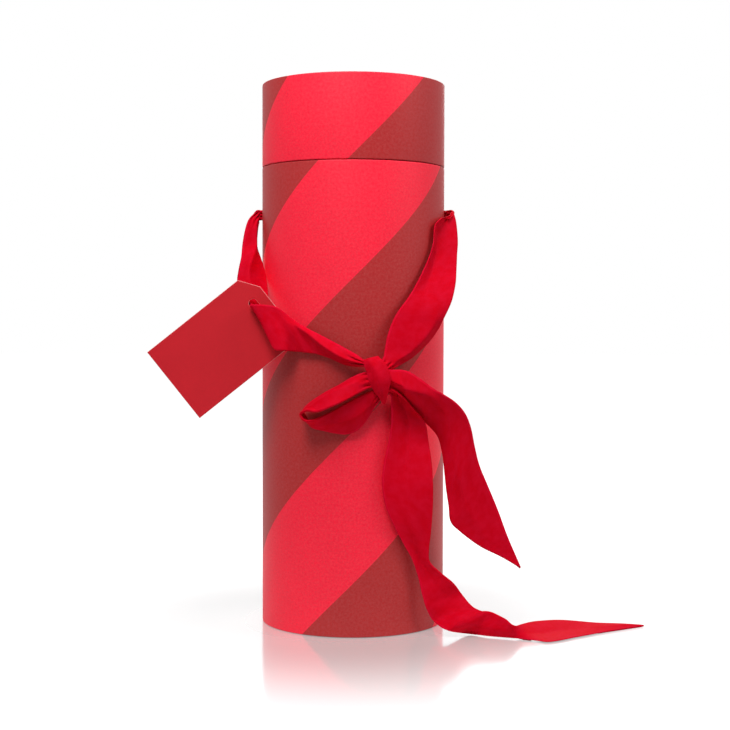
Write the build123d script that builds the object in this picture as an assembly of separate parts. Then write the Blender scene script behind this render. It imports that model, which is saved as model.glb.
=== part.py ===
from build123d import *
from math import cos, pi, radians, sin
import os

# A tall round gift box of paper-wrapped board: a body with an inner liner that stands
# up as the neck, a lift-off lid, and a satin ribbon that goes through a hole in each
# side of the body and is tied in a bow in front, with a card tag threaded on it.
# Millimetres. +Z is up, the viewer looks along +Y, and the origin is the middle of the
# base, on the surface that the box stands on.

# Driving sizes of the box
BOX_DIAMETER = 110.0
BOX_HEIGHT = 324.0
LID_HEIGHT = 49.6
SEAM_GAP = 0.4
BOARD_WALL = 2.0
LINER_WALL = 1.5
DISC_THICKNESS = 2.0
NECK_RISE = 36.0

# Papers
WRAP_THICKNESS = 0.3
COVER_THICKNESS = 0.2
NECK_PAPER_THICKNESS = 0.2
LINING_THICKNESS = 0.2
FLOOR_THICKNESS = 0.5
HEM_DEPTH = 12.0
RIM_TURN = 9.0
COVER_INSET = 1.6
NECK_PAPER_TUCK = 10.0
NECK_PAPER_INSIDE = 15.0

# Fits
GLUE_GAP = 0.05
LID_CLEARANCE = 0.3
PAPER_CLEARANCE = 0.4

# Ribbon holes, one in each side, below the seam
HOLE_DIAMETER = 10.0
HOLE_DROP = 28.4
OVERRUN = 5.0

# Ribbon: one length of satin, drawn a little thicker than the cloth
RIBBON_WIDTH = 30.0
RIBBON_THICKNESS = 0.8
CUTS_PER_STATION = 3
FULL_TURN = 360

# Tag: a card with clipped upper corners and a slot for the ribbon
TAG_LENGTH = 74.5
TAG_WIDTH = 48.5
TAG_THICKNESS = 0.6
TAG_CLIP_ALONG = 7.7
TAG_CLIP_ACROSS = 10.8
TAG_SLOT_WIDTH = 5.0
TAG_SLOT_LENGTH = 22.0
TAG_SLOT_SETBACK = 9.0
TAG_TILT = 38.5
TAG_ANGLE = -47.9
TAG_STAND_OFF_SHARE = 0.50
TAG_HEIGHT_SHARE = 0.754

# Radii, from the outside in
BOX_RADIUS = BOX_DIAMETER / 2
BOARD_OUTER = BOX_RADIUS - WRAP_THICKNESS - GLUE_GAP
BOARD_INNER = BOARD_OUTER - BOARD_WALL
HEM_OUTER = BOARD_INNER - GLUE_GAP
HEM_INNER = HEM_OUTER - WRAP_THICKNESS
NECK_PAPER_OUTER = HEM_INNER - LID_CLEARANCE
LINER_OUTER = NECK_PAPER_OUTER - NECK_PAPER_THICKNESS - GLUE_GAP
LINER_INNER = LINER_OUTER - LINER_WALL
NECK_PAPER_INNER = LINER_INNER - GLUE_GAP - NECK_PAPER_THICKNESS
DISC_RADIUS = BOARD_INNER - GLUE_GAP

# Levels, from the floor up
WRAP_LOW = COVER_THICKNESS + GLUE_GAP
BOARD_LOW = WRAP_LOW + WRAP_THICKNESS + GLUE_GAP
LINER_LOW = BOARD_LOW + DISC_THICKNESS + GLUE_GAP
FLOOR_LOW = LINER_LOW
FLOOR_TOP = FLOOR_LOW + FLOOR_THICKNESS
BODY_TOP = BOX_HEIGHT - LID_HEIGHT - SEAM_GAP
BODY_BOARD_TOP = BODY_TOP - WRAP_THICKNESS - GLUE_GAP
NECK_TOP = BODY_TOP + NECK_RISE
LINER_TOP = NECK_TOP - NECK_PAPER_THICKNESS - GLUE_GAP
LID_LOW = BOX_HEIGHT - LID_HEIGHT
HOLE_HEIGHT = LID_LOW - HOLE_DROP
LID_BOARD_LOW = LID_LOW + WRAP_THICKNESS + GLUE_GAP
LID_COVER_LOW = BOX_HEIGHT - COVER_THICKNESS
LID_WRAP_TOP = LID_COVER_LOW - GLUE_GAP
LID_BOARD_TOP = LID_WRAP_TOP - WRAP_THICKNESS - GLUE_GAP
LID_DISC_LOW = LID_BOARD_TOP - DISC_THICKNESS
CEILING_LOW = LID_DISC_LOW - GLUE_GAP - LINING_THICKNESS

# The ribbon's stretches, each a row of stations along it. A station gives the two edges
# of the cloth, each as an angle round the box (0 in front, + to the right), a distance
# out from its wall as a share of the ribbon's width, and a height as a share of the
# holes' height. Then come the depth of its fold, as a share of the width, the place of
# the fold between the two edges, and the number of layers gathered there.
INNER_RUN_HALF_SHARES = [
    (-90, 0.05, 1.012, -90, 0.05, 0.988, 0.0, 0.5, 3),
    (-90, -0.08, 1.012, -90, -0.08, 0.988, 0.0, 0.5, 3),
    (-91, -0.18, 1.013, -91, -0.18, 0.987, 0.0, 0.5, 2.5),
    (-94, -0.215, 1.015, -94, -0.215, 0.985, 0.0, 0.5, 2),
    (-100, -0.225, 1.022, -100, -0.225, 0.978, 0.0, 0.5, 1.5),
    (-112, -0.225, 1.036, -112, -0.225, 0.964, 0.0, 0.5, 1),
    (-128, -0.225, 1.052, -128, -0.225, 0.948, 0.0, 0.5, 1),
    (-146, -0.225, 1.058, -146, -0.225, 0.942, 0.0, 0.5, 1),
    (-163, -0.225, 1.058, -163, -0.225, 0.942, 0.0, 0.5, 1),
    (-180, -0.225, 1.058, -180, -0.225, 0.942, 0.0, 0.5, 1),
]
LEFT_STRAND_SHARES = [
    (-90, 0.05, 1.012, -90, 0.05, 0.988, 0, 0.5, 3),
    (-90, 0.07, 1.012, -90, 0.07, 0.988, 0, 0.5, 3),
    (-90, 0.09, 1.012, -90, 0.09, 0.986, 0, 0.5, 3),
    (-88.6, 0.151, 1.005, -88.5, 0.061, 0.982, 0.02, 0.6, 2),
    (-83.7, 0.28, 0.983, -85.5, 0.089, 0.966, 0.05, 0.75, 1.5),
    (-76.2, 0.408, 0.923, -82.2, 0.123, 0.925, 0.1, 0.8, 1.2),
    (-72.4, 0.487, 0.889, -76.7, 0.053, 0.89, 0.2, 0.42, 1),
    (-68.9, 0.572, 0.861, -72.6, 0.009, 0.863, 0.24, 0.26, 1),
    (-65.4, 0.649, 0.832, -66.1, 0.021, 0.833, 0.19, 0.3, 1),
    (-60.9, 0.67, 0.805, -57, 0.127, 0.796, 0.08, 0.4, 1),
    (-55.8, 0.655, 0.789, -50, 0.265, 0.763, 0.01, 0.5, 1),
    (-51.2, 0.664, 0.78, -45, 0.378, 0.728, 0, 0.5, 1),
    (-49.2, 0.767, 0.776, -41.7, 0.51, 0.7, 0, 0.5, 1),
    (-46.2, 0.775, 0.778, -38.6, 0.554, 0.674, 0, 0.5, 1),
    (-42.8, 0.642, 0.777, -34.9, 0.403, 0.671, -0.02, 0.5, 1),
    (-38.8, 0.456, 0.771, -32.5, 0.14, 0.668, -0.03, 0.4, 1),
    (-35, 0.183, 0.744, -26.1, 0.133, 0.666, -0.05, 0.2, 1),
    (-26.5, 0.15, 0.724, -19.6, 0.113, 0.662, -0.11, 0.12, 1),
    (-16.9, 0.15, 0.705, -12.5, 0.113, 0.653, -0.16, 0.34, 1),
    (-7.7, 0.183, 0.685, -5.1, 0.147, 0.64, -0.16, 0.45, 1.3),
    (-1.2, 0.233, 0.668, 0.4, 0.207, 0.635, -0.1, 0.5, 1.8),
    (5, 0.283, 0.651, 6, 0.283, 0.635, -0.03, 0.5, 3),
    (9.5, 0.317, 0.641, 10, 0.317, 0.631, 0, 0.5, 3),
]
RIGHT_STRAND_SHARES = [
    (90, 0.05, 0.988, 90, 0.05, 1.012, 0, 0.5, 3),
    (90, 0.07, 0.988, 90, 0.07, 1.012, 0, 0.5, 3),
    (90, 0.085, 0.987, 90, 0.09, 1.013, 0, 0.5, 2.6),
    (86.5, 0.09, 0.984, 88, 0.14, 1.013, 0, 0.5, 2),
    (69.1, 0.09, 0.99, 85.3, 0.189, 1.007, 0, 0.6, 1.5),
    (58.7, 0.09, 0.976, 82.2, 0.245, 0.988, -0.06, 0.62, 1.1),
    (55.5, 0.093, 0.959, 79.1, 0.283, 0.966, -0.1, 0.6, 1),
    (54.8, 0.1, 0.928, 74.8, 0.329, 0.931, -0.04, 0.5, 1),
    (50.8, 0.107, 0.896, 70.5, 0.362, 0.897, -0.06, 0.5, 1),
    (43.5, 0.12, 0.858, 65.3, 0.403, 0.862, -0.07, 0.5, 1),
    (35.4, 0.133, 0.812, 59.6, 0.473, 0.826, -0.05, 0.6, 1),
    (28.4, 0.15, 0.789, 53.8, 0.509, 0.785, -0.05, 0.75, 1),
    (23.3, 0.167, 0.763, 49.1, 0.506, 0.752, -0.09, 0.84, 1),
    (20.5, 0.183, 0.735, 46.4, 0.485, 0.728, -0.13, 0.8, 1),
    (18.5, 0.207, 0.705, 40.9, 0.373, 0.693, -0.12, 0.76, 1),
    (17.3, 0.233, 0.677, 33.9, 0.275, 0.654, -0.08, 0.65, 1.3),
    (16.3, 0.267, 0.657, 26.8, 0.26, 0.635, -0.05, 0.5, 2),
    (14.8, 0.3, 0.641, 19.2, 0.287, 0.624, 0, 0.5, 3),
]
LOOP_SHARES = [
    (11.5, 0.317, 0.625, 12.5, 0.333, 0.592, 0, 0.5, 3),
    (6.3, 0.267, 0.621, 7.3, 0.367, 0.579, 0.05, 0.5, 2.2),
    (0.4, 0.233, 0.611, 2.3, 0.45, 0.568, 0.08, 0.5, 1.3),
    (-7, 0.2, 0.593, -3.2, 0.533, 0.555, 0.1, 0.5, 1),
    (-14.8, 0.183, 0.576, -9.3, 0.583, 0.541, 0.1, 0.5, 1),
    (-23.1, 0.167, 0.554, -15.4, 0.567, 0.531, 0.06, 0.5, 1),
    (-29.9, 0.1, 0.537, -20.1, 0.517, 0.532, 0.02, 0.5, 1),
    (-33.1, 0.06, 0.521, -23.3, 0.483, 0.523, 0, 0.5, 1),
    (-30.8, 0.053, 0.503, -21.3, 0.45, 0.511, 0, 0.5, 1),
    (-24.6, 0.06, 0.492, -17.6, 0.413, 0.519, 0.03, 0.5, 1),
    (-17, 0.073, 0.487, -13.3, 0.383, 0.536, 0.06, 0.5, 1),
    (-9.7, 0.1, 0.481, -7.5, 0.35, 0.552, 0.07, 0.5, 1),
    (-2.9, 0.107, 0.479, -1.8, 0.317, 0.565, 0.07, 0.5, 1),
    (3.2, 0.127, 0.49, 3.5, 0.283, 0.574, 0.06, 0.5, 1),
    (8.1, 0.153, 0.513, 7.9, 0.273, 0.58, 0.04, 0.5, 1.2),
    (12.1, 0.183, 0.536, 11.2, 0.283, 0.583, 0.02, 0.5, 1.8),
    (15.3, 0.233, 0.562, 14.1, 0.317, 0.59, 0, 0.5, 3),
]
SHORT_TAIL_SHARES = [
    (14.6, 0.317, 0.627, 16.2, 0.317, 0.595, 0, 0.5, 2),
    (19.9, 0.317, 0.627, 22.6, 0.233, 0.58, -0.07, 0.75, 1.5),
    (24.5, 0.333, 0.628, 28.5, 0.196, 0.553, -0.14, 0.6, 1.2),
    (27.8, 0.466, 0.624, 35, 0.161, 0.531, -0.24, 0.5, 1),
    (32.9, 0.548, 0.608, 42.7, 0.162, 0.507, -0.27, 0.32, 1),
    (37.8, 0.634, 0.593, 47.4, 0.234, 0.485, -0.24, 0.19, 1),
    (42.2, 0.732, 0.572, 49, 0.324, 0.468, -0.14, 0.12, 1),
    (47.9, 0.852, 0.554, 49.3, 0.414, 0.443, -0.05, 0.2, 1),
    (51.9, 0.924, 0.527, 48.7, 0.492, 0.417, 0.06, 0.5, 1),
    (54.9, 0.953, 0.489, 47.3, 0.574, 0.385, 0.15, 0.58, 1),
    (57.5, 0.962, 0.44, 46.7, 0.646, 0.346, 0.19, 0.6, 1),
    (59.8, 1.014, 0.398, 47.8, 0.671, 0.306, 0.19, 0.6, 1),
    (62.4, 1.115, 0.354, 49.3, 0.67, 0.268, 0.16, 0.6, 1),
    (65.9, 1.265, 0.292, 53.8, 0.76, 0.243, 0.11, 0.6, 1),
    (69, 1.419, 0.226, 61.3, 1.009, 0.205, 0.05, 0.6, 1),
    (71.1, 1.561, 0.176, 67.6, 1.312, 0.177, 0, 0.5, 1),
    (72.2, 1.648, 0.147, 71.3, 1.599, 0.153, 0, 0.5, 1),
]
LONG_TAIL_SHARES = [
    (15.6, 0.333, 0.584, 19.2, 0.367, 0.578, 0, 0.5, 2.5),
    (20.1, 0.3, 0.566, 26.8, 0.367, 0.559, -0.06, 0.5, 1.6),
    (20.9, 0.233, 0.54, 34.2, 0.347, 0.527, -0.1, 0.5, 1.1),
    (21.8, 0.183, 0.51, 41.2, 0.317, 0.497, -0.11, 0.5, 1),
    (20.8, 0.143, 0.465, 42.8, 0.324, 0.458, -0.09, 0.5, 1),
    (18, 0.133, 0.412, 42.4, 0.423, 0.412, -0.05, 0.5, 1),
    (16.8, 0.133, 0.365, 41.8, 0.491, 0.356, -0.02, 0.5, 1),
    (18.6, 0.133, 0.313, 42, 0.476, 0.299, 0.01, 0.5, 1),
    (23.1, 0.133, 0.268, 42.3, 0.419, 0.244, 0.02, 0.45, 1),
    (29.9, 0.143, 0.217, 42.2, 0.371, 0.201, -0.05, 0.45, 1),
    (35.7, 0.16, 0.177, 42.9, 0.372, 0.171, -0.09, 0.45, 1),
    (39.4, 0.183, 0.133, 47, 0.512, 0.145, -0.08, 0.45, 1),
    (41.2, 0.217, 0.095, 51.2, 0.667, 0.121, -0.05, 0.5, 1),
    (43.8, 0.25, 0.058, 55.3, 0.745, 0.093, -0.02, 0.5, 1),
    (47.9, 0.3, 0.027, 55, 0.957, 0.07, 0.03, 0.5, 1),
    (45.1, 0.715, 0.016, 55.2, 1.206, 0.059, 0.05, 0.5, 1),
    (55.9, 0.868, 0, 56.3, 1.414, 0.055, 0.05, 0.5, 1),
    (56.7, 1.32, 0, 55.5, 1.701, 0.046, 0.04, 0.5, 1),
    (58.4, 1.762, 0, 56.4, 1.843, 0.032, 0.02, 0.5, 1),
    (59, 2.242, 0, 64.5, 1.806, 0.025, -0.02, 0.5, 1),
    (59.5, 2.513, 0, 69.7, 2.008, 0.026, -0.04, 0.5, 1),
    (67.2, 2.826, 0, 76, 2.424, 0.021, -0.03, 0.5, 1),
    (74.4, 3.238, 0, 79.4, 3.072, 0.011, 0.02, 0.5, 1),
    (79.6, 3.695, 0, 81.2, 3.58, 0.007, 0.02, 0.5, 1),
    (82.4, 4.02, 0, 82.4, 3.985, 0.002, 0, 0.5, 1),
]

# The knot, from its top to its lower tip: the angle, distance out and height of its
# middle, then half its width and half its depth, all as shares like those above
KNOT_SHARES = [
    (9.7, 0.31, 0.655, 0.15, 0.07),
    (10.4, 0.33, 0.644, 0.18, 0.13),
    (12.5, 0.347, 0.627, 0.21, 0.17),
    (13.9, 0.353, 0.606, 0.216, 0.18),
    (14.6, 0.34, 0.586, 0.162, 0.15),
    (15.7, 0.313, 0.567, 0.088, 0.1),
    (16.4, 0.287, 0.549, 0.026, 0.045),
]
KNOT_SIDES = 8


def lathe(*points):
    """A ring or disc turned round the box's axis from a closed profile of (radius, height)."""
    return revolve(make_face(Plane.XZ * Polyline(*points, close=True)), Axis.Z)


def ring(inner, outer, low, high):
    """A plain tube, or a disc where the inner radius is zero."""
    return lathe((inner, low), (outer, low), (outer, high), (inner, high))


def ribbon_holes():
    """The bar that cuts both ribbon holes, through one wall and out of the other."""
    length = BOX_DIAMETER + 2 * OVERRUN
    return Pos(0, 0, HOLE_HEIGHT) * Rot(0, 90, 0) * Cylinder(HOLE_DIAMETER / 2, length)


def body_tube():
    """The board tube of the body."""
    return ring(BOARD_INNER, BOARD_OUTER, BOARD_LOW, BODY_BOARD_TOP) - ribbon_holes()


def body_wrap():
    """The printed paper round the body, turned in over the top and under the base."""
    turned = BOARD_OUTER - RIM_TURN
    under = WRAP_LOW + WRAP_THICKNESS
    over = BODY_TOP - WRAP_THICKNESS
    sheet = lathe(
        (turned, WRAP_LOW),
        (BOX_RADIUS, WRAP_LOW),
        (BOX_RADIUS, BODY_TOP),
        (HEM_INNER, BODY_TOP),
        (HEM_INNER, BODY_TOP - HEM_DEPTH),
        (HEM_OUTER, BODY_TOP - HEM_DEPTH),
        (HEM_OUTER, over),
        (BOX_RADIUS - WRAP_THICKNESS, over),
        (BOX_RADIUS - WRAP_THICKNESS, under),
        (turned, under),
    )
    return sheet - ribbon_holes()


def liner_tube():
    """The inner board tube, which stands on the base and rises out of the body as its neck."""
    return ring(LINER_INNER, LINER_OUTER, LINER_LOW, LINER_TOP) - ribbon_holes()


def neck_paper():
    """The paper that covers the neck and is turned in over its rim."""
    rim = NECK_TOP - NECK_PAPER_THICKNESS
    low = BODY_TOP - NECK_PAPER_TUCK
    inside_low = NECK_TOP - NECK_PAPER_INSIDE
    return lathe(
        (NECK_PAPER_OUTER, low),
        (NECK_PAPER_OUTER, NECK_TOP),
        (NECK_PAPER_INNER, NECK_TOP),
        (NECK_PAPER_INNER, inside_low),
        (NECK_PAPER_INNER + NECK_PAPER_THICKNESS, inside_low),
        (NECK_PAPER_INNER + NECK_PAPER_THICKNESS, rim),
        (NECK_PAPER_OUTER - NECK_PAPER_THICKNESS, rim),
        (NECK_PAPER_OUTER - NECK_PAPER_THICKNESS, low),
    )


def base_disc():
    """The board disc that closes the lower end of the body."""
    return ring(0, DISC_RADIUS, BOARD_LOW, BOARD_LOW + DISC_THICKNESS)


def base_cover():
    """The paper disc under the base, over the turned edge of the wrap."""
    return ring(0, BOX_RADIUS - COVER_INSET, 0, COVER_THICKNESS)


def floor_lining():
    """The thin pad inside, which the contents stand on."""
    return ring(0, LINER_INNER - PAPER_CLEARANCE, FLOOR_LOW, FLOOR_TOP)


def lid_tube():
    """The short board tube of the lid."""
    return ring(BOARD_INNER, BOARD_OUTER, LID_BOARD_LOW, LID_BOARD_TOP)


def lid_wrap():
    """The printed paper round the lid, turned in at its mouth and over its top rim."""
    turned = BOARD_OUTER - RIM_TURN
    return lathe(
        (turned, LID_WRAP_TOP),
        (BOX_RADIUS, LID_WRAP_TOP),
        (BOX_RADIUS, LID_LOW),
        (HEM_INNER, LID_LOW),
        (HEM_INNER, LID_LOW + HEM_DEPTH),
        (HEM_OUTER, LID_LOW + HEM_DEPTH),
        (HEM_OUTER, LID_LOW + WRAP_THICKNESS),
        (BOX_RADIUS - WRAP_THICKNESS, LID_LOW + WRAP_THICKNESS),
        (BOX_RADIUS - WRAP_THICKNESS, LID_WRAP_TOP - WRAP_THICKNESS),
        (turned, LID_WRAP_TOP - WRAP_THICKNESS),
    )


def lid_disc():
    """The board disc that closes the top of the lid."""
    return ring(0, DISC_RADIUS, LID_DISC_LOW, LID_BOARD_TOP)


def lid_cover():
    """The printed paper disc on top of the lid."""
    return ring(0, BOX_RADIUS - COVER_INSET, LID_COVER_LOW, BOX_HEIGHT)


def lid_ceiling():
    """The paper disc under the lid's board disc, inside the lid."""
    return ring(0, DISC_RADIUS - PAPER_CLEARANCE, CEILING_LOW, CEILING_LOW + LINING_THICKNESS)


def lid_lining():
    """The paper sleeve that lines the lid above the hem."""
    outer = BOARD_INNER - GLUE_GAP
    low = LID_LOW + HEM_DEPTH + GLUE_GAP
    return ring(outer - LINING_THICKNESS, outer, low, CEILING_LOW - GLUE_GAP)


def place(angle, stand_off_share, height_share):
    """A point near the box: its angle, its distance out from the wall and its height."""
    radius = BOX_RADIUS + stand_off_share * RIBBON_WIDTH
    height = RIBBON_THICKNESS + height_share * (HOLE_HEIGHT - RIBBON_THICKNESS)
    turn = radians(angle)
    return Vector(radius * sin(turn), -radius * cos(turn), height)


def smoothed(stations):
    """The stations with more between them, on the smooth curve through them all."""
    rows = [stations[0], *stations, stations[-1]]
    result = []
    for a, b, c, d in zip(rows, rows[1:], rows[2:], rows[3:]):
        for step in range(CUTS_PER_STATION):
            t = step / CUTS_PER_STATION
            pull = ((1 - t) ** 2 * t / 2, t**2 * (1 - t) / 2)
            rise = t**2 * (3 - 2 * t)
            result.append(tuple(
                q + (r - q) * rise + (r - p) * pull[0] - (s - q) * pull[1]
                for p, q, r, s in zip(a, b, c, d)
            ))
    return [*result, stations[-1]]


def tangents(points):
    """The direction of travel at each point of a row."""
    last = len(points) - 1
    ends = [(max(i - 1, 0), min(i + 1, last)) for i in range(last + 1)]
    return [(points[after] - points[before]).normalized() for before, after in ends]


def skin(cuts):
    """A solid through a row of cuts, each a ring of as many corners, in flat facets."""
    faces = [make_face(Polyline(*cut, close=True)) for cut in (cuts[0], cuts[-1])]
    for near, far in zip(cuts, cuts[1:]):
        for i in range(len(near)):
            faces.append(make_face(Polyline(near[i - 1], near[i], far[i], close=True)))
            faces.append(make_face(Polyline(near[i - 1], far[i], far[i - 1], close=True)))
    return Solid(Shell([part.face() for part in faces]))


def cloth_section(edge_a, edge_b, tangent, fold_share, fold_at, layers):
    """One cut across the ribbon: two flat parts that meet at its fold."""
    across = edge_b - edge_a
    face = tangent.cross(across).normalized()
    half = face * (layers * RIBBON_THICKNESS / 2)
    fold = edge_a + across * fold_at + face * (fold_share * RIBBON_WIDTH)
    front = [edge_a + half, fold + half, edge_b + half]
    back = [edge_b - half, fold - half, edge_a - half]
    return front + back


def cloth(stations):
    """A stretch of ribbon through its stations, as one folded strip."""
    rows = smoothed(stations)
    edges = [(place(*row[0:3]), place(*row[3:6])) for row in rows]
    ways = tangents([(a + b) / 2 for a, b in edges])
    return skin([
        cloth_section(edge_a, edge_b, way, *row[6:9])
        for (edge_a, edge_b), way, row in zip(edges, ways, rows)
    ])


def ribbon_inner_run():
    """The ribbon inside the box, from hole to hole round the back of the liner."""
    half = INNER_RUN_HALF_SHARES
    other = [
        (-FULL_TURN - row[0], row[1], row[2], -FULL_TURN - row[3], *row[4:])
        for row in reversed(half[:-1])
    ]
    return cloth(half + other)


def knot():
    """The wrap of ribbon that holds the bow."""
    rows = smoothed(KNOT_SHARES)
    middles = [place(*row[0:3]) for row in rows]
    turns = [2 * pi * (i + 0.5) / KNOT_SIDES for i in range(KNOT_SIDES)]
    cuts = []
    for middle, way, row in zip(middles, tangents(middles), rows):
        outward = Vector(middle.X, middle.Y, 0).normalized()
        across = way.cross(outward).normalized()
        depth = across.cross(way).normalized()
        wide, deep = row[3] * RIBBON_WIDTH, row[4] * RIBBON_WIDTH
        cuts.append([middle + across * (wide * cos(t)) + depth * (deep * sin(t)) for t in turns])
    return skin(cuts)


def tag_plane():
    """The tag's own plane: X runs along the tag to its slotted end, at the slot's middle."""
    middle = place(TAG_ANGLE, TAG_STAND_OFF_SHARE, TAG_HEIGHT_SHARE)
    tilt = radians(TAG_TILT)
    return Plane(origin=middle, x_dir=(cos(tilt), 0, sin(tilt)), z_dir=(0, -1, 0))


def tag_card():
    """The card tag: two clipped corners, a slot across it near that end."""
    end, low = TAG_SLOT_SETBACK, TAG_SLOT_SETBACK - TAG_LENGTH
    side = TAG_WIDTH / 2
    outline = Polyline(
        (low, -side),
        (end - TAG_CLIP_ALONG, -side),
        (end, TAG_CLIP_ACROSS - side),
        (end, side - TAG_CLIP_ACROSS),
        (end - TAG_CLIP_ALONG, side),
        (low, side),
        close=True,
    )
    slot = SlotOverall(TAG_SLOT_LENGTH, TAG_SLOT_WIDTH, rotation=90)
    return extrude(tag_plane() * (make_face(outline) - slot), TAG_THICKNESS / 2, both=True)


def build():
    bow = knot()
    return {
        "body_tube": body_tube(),
        "body_wrap": body_wrap(),
        "liner_tube": liner_tube(),
        "neck_paper": neck_paper(),
        "base_disc": base_disc(),
        "base_cover": base_cover(),
        "floor_lining": floor_lining(),
        "lid_tube": lid_tube(),
        "lid_wrap": lid_wrap(),
        "lid_disc": lid_disc(),
        "lid_cover": lid_cover(),
        "lid_ceiling": lid_ceiling(),
        "lid_lining": lid_lining(),
        "ribbon_inner_run": ribbon_inner_run(),
        "ribbon_left_strand": cloth(LEFT_STRAND_SHARES) - bow,
        "ribbon_right_strand": cloth(RIGHT_STRAND_SHARES) - bow,
        "ribbon_knot": bow,
        "ribbon_loop": cloth(LOOP_SHARES) - bow,
        "ribbon_short_tail": cloth(SHORT_TAIL_SHARES) - bow,
        "ribbon_long_tail": cloth(LONG_TAIL_SHARES) - bow,
        "tag_card": tag_card(),
    }


os.makedirs("parts", exist_ok=True)
for name, solid in build().items():
    export_step(solid, f"parts/{name}.step")
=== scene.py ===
import math

import bmesh
import bpy
from mathutils import Matrix, Vector, noise


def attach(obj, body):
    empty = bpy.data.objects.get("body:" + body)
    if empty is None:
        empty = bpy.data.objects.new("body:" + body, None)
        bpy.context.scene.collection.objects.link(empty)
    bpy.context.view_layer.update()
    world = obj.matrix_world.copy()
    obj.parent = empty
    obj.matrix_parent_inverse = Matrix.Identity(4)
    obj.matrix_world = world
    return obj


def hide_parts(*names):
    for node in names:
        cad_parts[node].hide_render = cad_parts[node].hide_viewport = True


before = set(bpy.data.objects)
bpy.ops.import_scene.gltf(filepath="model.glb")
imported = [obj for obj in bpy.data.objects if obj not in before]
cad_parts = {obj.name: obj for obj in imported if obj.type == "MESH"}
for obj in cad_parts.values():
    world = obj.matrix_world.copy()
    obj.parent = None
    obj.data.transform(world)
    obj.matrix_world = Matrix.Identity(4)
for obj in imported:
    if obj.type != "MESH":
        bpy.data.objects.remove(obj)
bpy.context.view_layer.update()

# A round gift box of printed paper over board, tied with a red ribbon that holds a card tag.
# Metres. +Z is up and the camera looks along +Y.

# The box: heights from the floor, then its papers, with the hem that is turned in at the rims
BOX_RADIUS = 0.055
LID_LOW = 0.2744
BODY_TOP = 0.274
WRAP_THICKNESS = 0.0003
WRAP_LOW = 0.00025
LID_WRAP_TOP = 0.32375
TURNED_IN = 0.0455
HEM_INNER = 0.0523
HEM_OUTER = 0.0526
HEM_DEPTH = 0.012
RIM_ROUNDING = 0.0007
HOLE_HEIGHT = 0.246
HOLE_RADIUS = 0.005
ROUND_COLUMNS = 288
CORNER_STEPS = 6
HOLE_SIDES = 48
SAME_PLACE = 1e-7
OVERLAP_STEP = 0.00012
OVERLAP_TURN = math.radians(14)

# The helical stripes: they climb as far as they go round, and a bright and a dark one together
# take one period up the box. Each edge is where a dark stripe starts in front, at the middle.
STRIPE_PERIOD = 0.1754
BODY_STRIPE_EDGE = 0.0309
LID_STRIPE_EDGE = 0.2772

# How many metres one unit of a texture map stands for
UV_UNIT = 0.1

# The ribbon's cloth, how it lies on the floor, and its grid along and across
RIBBON_WIDTH = 0.030
CLOTH_THICKNESS = 0.00034
SELVEDGE_THICKNESS = 0.00046
LYING_HEIGHT = 0.0003
RIBBON_LIFT = 0.0008
CUTS_PER_STATION = 8
FRONT_COLUMNS = 26
TURN_COLUMNS = 6
BACK_COLUMNS = 14

# Its pleats, which start at one amount of gathering and are full at another, and its folds
PLEATS = 3
PLEAT_DEPTH = 0.0016
GATHER_FROM = 1.4
GATHER_SPAN = 2.2
FOLD_SOFTNESS = 0.004

# The width to spare, turned under: the turn's radius, also as a share of the cloth's chord,
# the least length under and its largest share of the chord, and how it opens behind
TURN_RADIUS = 0.0006
TURN_SHARE = 1 / 8
LEAST_UNDER = 0.0004
MOST_UNDER = 0.92
UNDER_OPENING = 0.6

# The cloth's slight unevenness
DRIFT_SCALE = 45
DRIFT_DEPTH = 0.0005

# The tag: its size, clipped corners and slot, how squarely a face lies if it belongs to a side
# and not to the rim, then the tilt and where the slot is, as place() takes it
TAG_LENGTH = 0.0745
TAG_WIDTH = 0.0485
TAG_THICKNESS = 0.0005
TAG_CHAMFER = 0.00018
TAG_CLIP = (0.0077, 0.0108)
TAG_SLOT = (0.0050, 0.0220)
TAG_SLOT_SETBACK = 0.0090
TAG_SLOT_STEPS = 12
TAG_FACE_TURN = 0.95
TAG_TILT = math.radians(38.5)
TAG_PLACE = (-47.9, 0.50, 0.754)

# The square lamps: place, size and power, and the point that they all aim at
LAMPS = {
    "front_box": ((-0.16, -0.52, 0.88), 0.4, 4.0),
    "left_box": ((-1.3, -0.5, 0.8), 0.9, 0.7),
    "right_box": ((1.1, -0.32, 0.95), 0.5, 3.9),
    "back_box": ((0.05, 1.0, 0.80), 0.9, 5.0),
}
LIGHT_SPREAD = math.radians(130)
LIGHT_AIM = (0, 0, 0.31)
WORLD_LIGHT = 0.12

# The floor: its grey, its gloss, which fades away from the box, and the white that it is seen
# with, which grows away from the box. A fade or a reach is two distances from the middle.
FLOOR_HALF_SIZE = 6.0
FLOOR_GREY = 0.36
FLOOR_GLOSS = 0.52
FLOOR_GLOSS_FADE = (0.06, 0.34)
FLOOR_GLOSS_ROUGHNESS = 0.12
FLOOR_GLOW = (0.50, 1.0)
FLOOR_GLOW_REACH = (0.08, 0.22)

# The camera
CAMERA_PLACE = (0.00725, -0.88383, 0.18509)
CAMERA_PITCH = math.radians(1.935)
CAMERA_ROLL = math.radians(0.104)
CAMERA_LENS = 71.65
CAMERA_SENSOR = 36

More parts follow.
